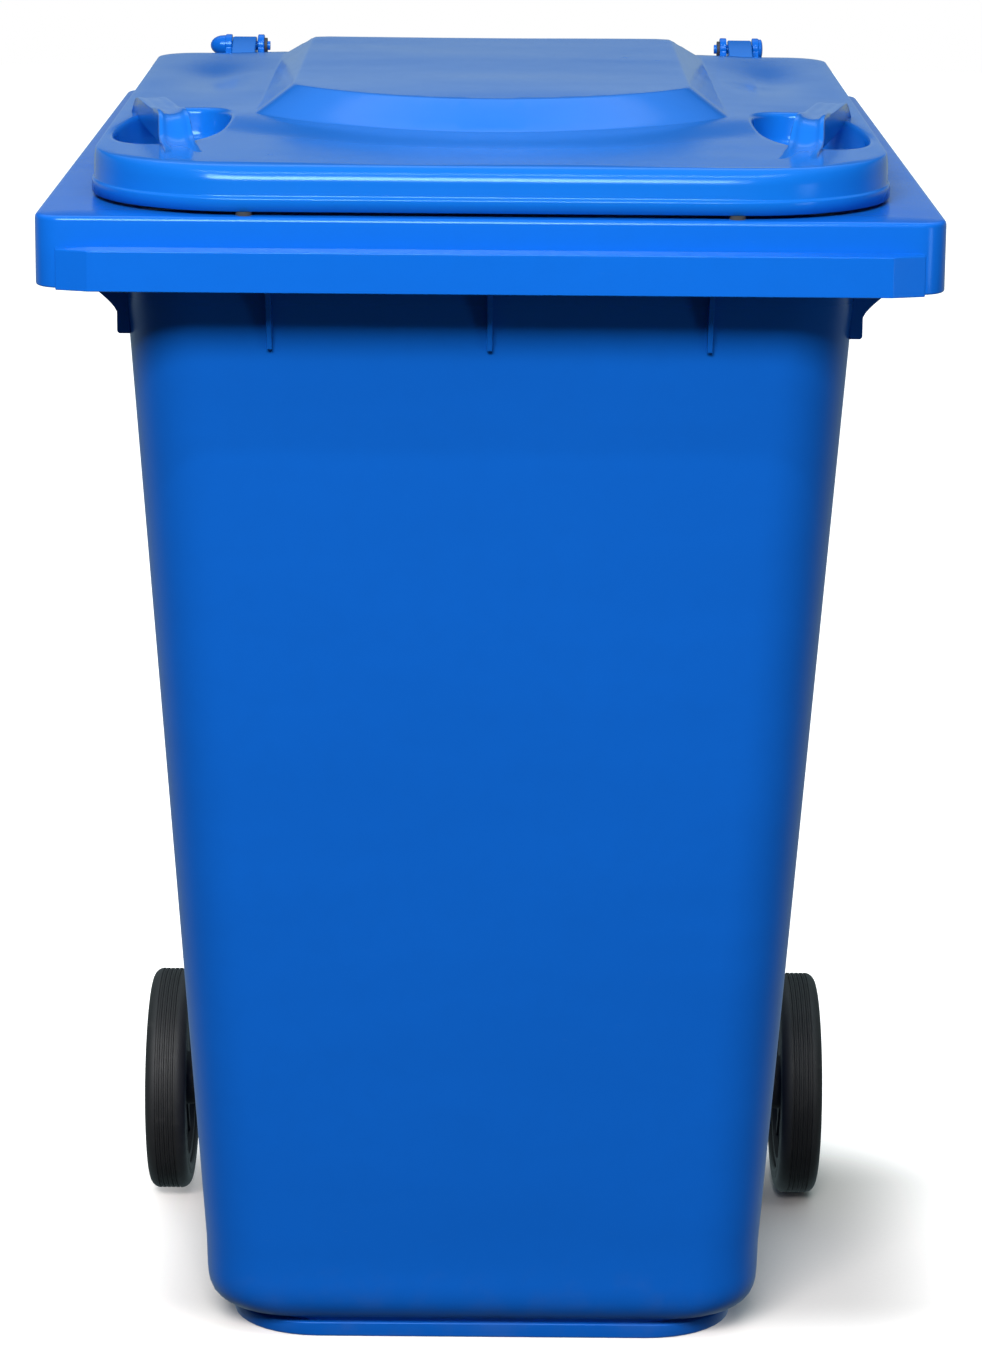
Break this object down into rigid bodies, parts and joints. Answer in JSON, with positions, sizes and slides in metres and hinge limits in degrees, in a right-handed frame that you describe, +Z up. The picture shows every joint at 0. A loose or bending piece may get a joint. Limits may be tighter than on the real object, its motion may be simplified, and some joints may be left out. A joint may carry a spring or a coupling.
{
  "type": "wheelie bin",
  "caption": "Two-wheeled refuse bin with a tapered body, a comb rim, a domed hinged lid with finger grips, and rubber-tyred wheels on a steel axle.",
  "frame": {"origin": "middle of the bin's footprint, on the ground", "axes": "+Z up, front of the bin faces -Y, +X to the right seen from the front"},
  "size_m": [0.65, 0.786, 1.0445],
  "materials": {
    "blue_body": "moulded polyethylene, fine grain, satin",
    "blue_lid": "moulded polyethylene, satin",
    "blue_pin": "moulded plastic",
    "black_plastic": "moulded",
    "hub_plastic": "moulded",
    "buffer_rubber": "moulded rubber",
    "tyre_rubber": "solid rubber",
    "axle_steel": "zinc plated",
    "latch_steel": "zinc plated",
    "spring_steel": "drawn wire",
    "bush_nylon": "moulded nylon"
  },
  "bodies": {
    "body": {"body": "blue_body", "hinge_pin_left": "blue_pin", "hinge_pin_right": "blue_pin", "hinge_clip_left": "black_plastic", "hinge_clip_right": "black_plastic", "lid_buffers": "buffer_rubber", "axle": "axle_steel", "axle_spacer_left": "black_plastic", "axle_spacer_right": "black_plastic"},
    "lid": {"lid": "blue_lid"},
    "wheel_left": {"wheel_hub_left": "hub_plastic", "tyre_left": "tyre_rubber", "hub_bush_left": "bush_nylon", "latch_spring_left": "spring_steel", "hub_cap_left": "black_plastic"},
    "wheel_right": {"wheel_hub_right": "hub_plastic", "tyre_right": "tyre_rubber", "hub_bush_right": "bush_nylon", "latch_spring_right": "spring_steel", "hub_cap_right": "black_plastic"},
    "latch_left": {"latch_pin_left": "latch_steel"},
    "latch_right": {"latch_pin_right": "latch_steel"}
  },
  "joints": [
    {"name": "lid_hinge", "type": "hinge", "parent": "body", "child": "lid", "pos_m": [0, 0.382, 1.02796], "axis": [-1, 0, 0], "range_deg": [0, 270]},
    {"name": "wheel_left_spin", "type": "hinge", "parent": "body", "child": "wheel_left", "pos_m": [-0.277, 0.238, 0.1], "axis": [1, 0, 0], "continuous": true},
    {"name": "wheel_right_spin", "type": "hinge", "parent": "body", "child": "wheel_right", "pos_m": [0.277, 0.238, 0.1], "axis": [1, 0, 0], "continuous": true},
    {"name": "latch_left_slide", "type": "slide", "parent": "wheel_left", "child": "latch_left", "axis": [0, 0, 1], "range_m": [0, 0.003], "stiffness_N_per_m": 400, "springref_m": -0.003, "deforming": ["latch_spring_left"]},
    {"name": "latch_right_slide", "type": "slide", "parent": "wheel_right", "child": "latch_right", "axis": [0, 0, 1], "range_m": [0, 0.003], "stiffness_N_per_m": 400, "springref_m": -0.003, "deforming": ["latch_spring_right"]}
  ]
}
